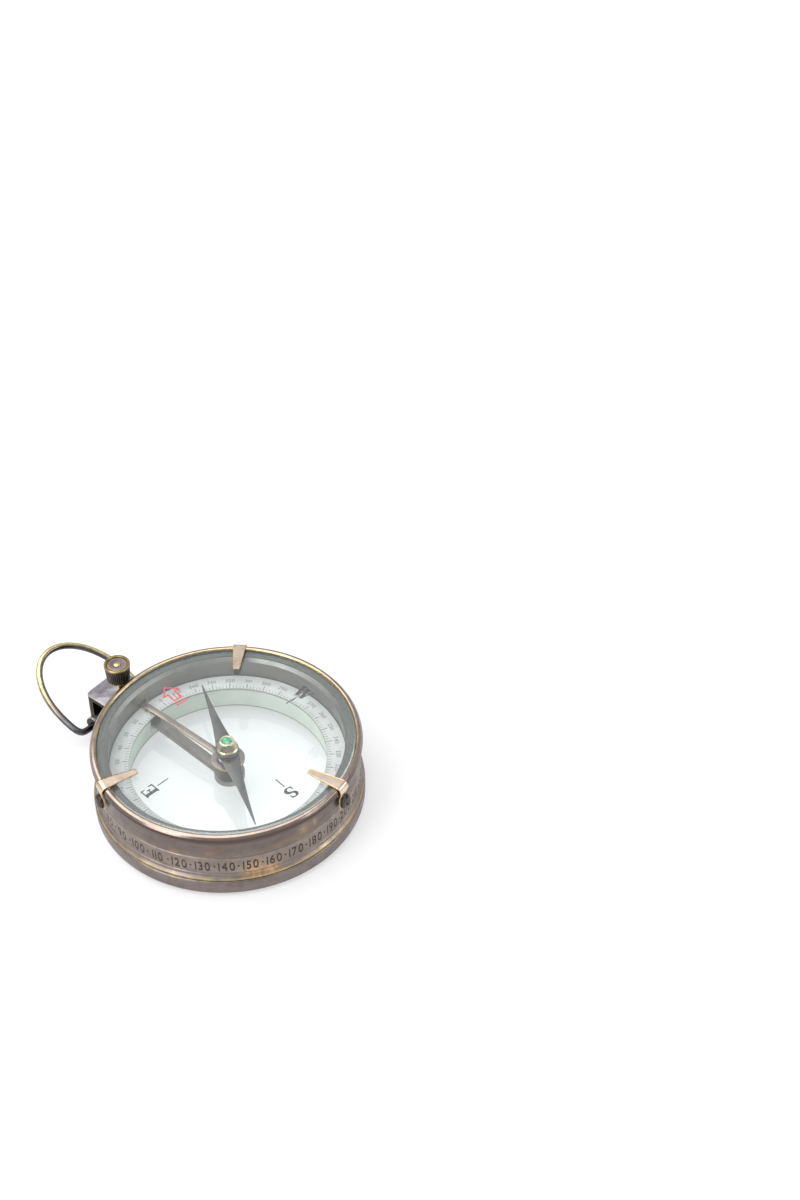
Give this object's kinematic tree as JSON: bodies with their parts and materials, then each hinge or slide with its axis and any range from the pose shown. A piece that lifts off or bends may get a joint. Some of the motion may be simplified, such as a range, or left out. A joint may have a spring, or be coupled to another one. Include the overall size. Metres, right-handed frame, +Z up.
{
  "type": "glazed hand compass with needle clamp",
  "caption": "Hand compass in aged brass with glass on both sides, a lance needle on a jewelled cap, a needle clamp knob and a swinging bail.",
  "frame": {"origin": "middle of the footprint, on the plane that the compass rests on", "axes": "+Z up along the case's axis; +Y from the case towards the hanger and its bail; +X across the hanger"},
  "size_m": [0.0758, 0.1106, 0.0259],
  "materials": {
    "aged_brass": "dark patina with worn edges",
    "inner_brass": "dull inside surface",
    "copper_brass": "rosy worn brass",
    "bright_brass": "worn bright",
    "dark_bronze": "near-black patina with worn edges",
    "black_steel": "blackened",
    "blue_steel": "blued grey, satin",
    "clear_glass": "polished clear",
    "green_glass": "polished, domed",
    "dial_silver": "pale grey lacquer",
    "spacer_green": "pale green-white lacquer",
    "gasket_grey": "matt"
  },
  "bodies": {
    "case": {"base_ring": "aged_brass", "bottom_gasket": "gasket_grey", "bottom_glass": "clear_glass", "case_body": "aged_brass", "glass_gasket": "gasket_grey", "top_glass": "clear_glass", "dial_spacer": "spacer_green", "dial_ring": "dial_silver", "bridge_screw_1": "bright_brass", "bridge_screw_2": "bright_brass", "pivot_bridge": "dark_bronze", "pivot_pin": "blue_steel", "pivot_nut": "black_steel", "fulcrum_pin": "inner_brass", "prong_1": "copper_brass", "prong_screw_1": "black_steel", "prong_2": "copper_brass", "prong_screw_2": "black_steel", "prong_3": "copper_brass", "prong_screw_3": "black_steel", "bracket_screw_1": "bright_brass", "bracket_screw_2": "bright_brass", "hanger_bracket": "dark_bronze", "return_spring": "bright_brass"},
    "needle": {"needle_blade": "blue_steel", "needle_hub": "blue_steel", "needle_cap": "bright_brass", "cap_jewel": "green_glass"},
    "lift_lever": {"lift_lever": "copper_brass"},
    "clamp_carriage": {"thrust_pad": "bright_brass"},
    "clamp_screw": {"clamp_stem": "bright_brass", "clamp_knob": "dark_bronze"},
    "bail": {"bail": "dark_bronze"}
  },
  "joints": [
    {"name": "needle_spin", "type": "hinge", "parent": "case", "child": "needle", "pos_m": [0, -0.01663, 0.0156], "axis": [0, 0, 1], "continuous": true},
    {"name": "clamp_travel", "type": "slide", "parent": "case", "child": "clamp_carriage", "axis": [0, 0, -1], "range_m": [0, 0.0002638], "deforming": ["return_spring"]},
    {"name": "clamp_turn", "type": "hinge", "parent": "clamp_carriage", "child": "clamp_screw", "pos_m": [0, 0.02487, 0.02], "axis": [0, 0, -1], "range_deg": [0, 190]},
    {"name": "lever_tilt", "type": "hinge", "parent": "case", "child": "lift_lever", "pos_m": [0, 0.01787, 0.01295], "axis": [-1, 0, 0], "range_deg": [0, 2.16]},
    {"name": "bail_swing", "type": "hinge", "parent": "case", "child": "bail", "pos_m": [0, 0.02987, 0.004], "axis": [1, 0, 0], "range_deg": [-117, 90]}
  ],
  "couplings": [
    {"joint": "clamp_turn", "follows": "clamp_travel", "rad_per_m": 12566},
    {"joint": "lever_tilt", "follows": "clamp_travel", "rad_per_m": 142.86}
  ]
}
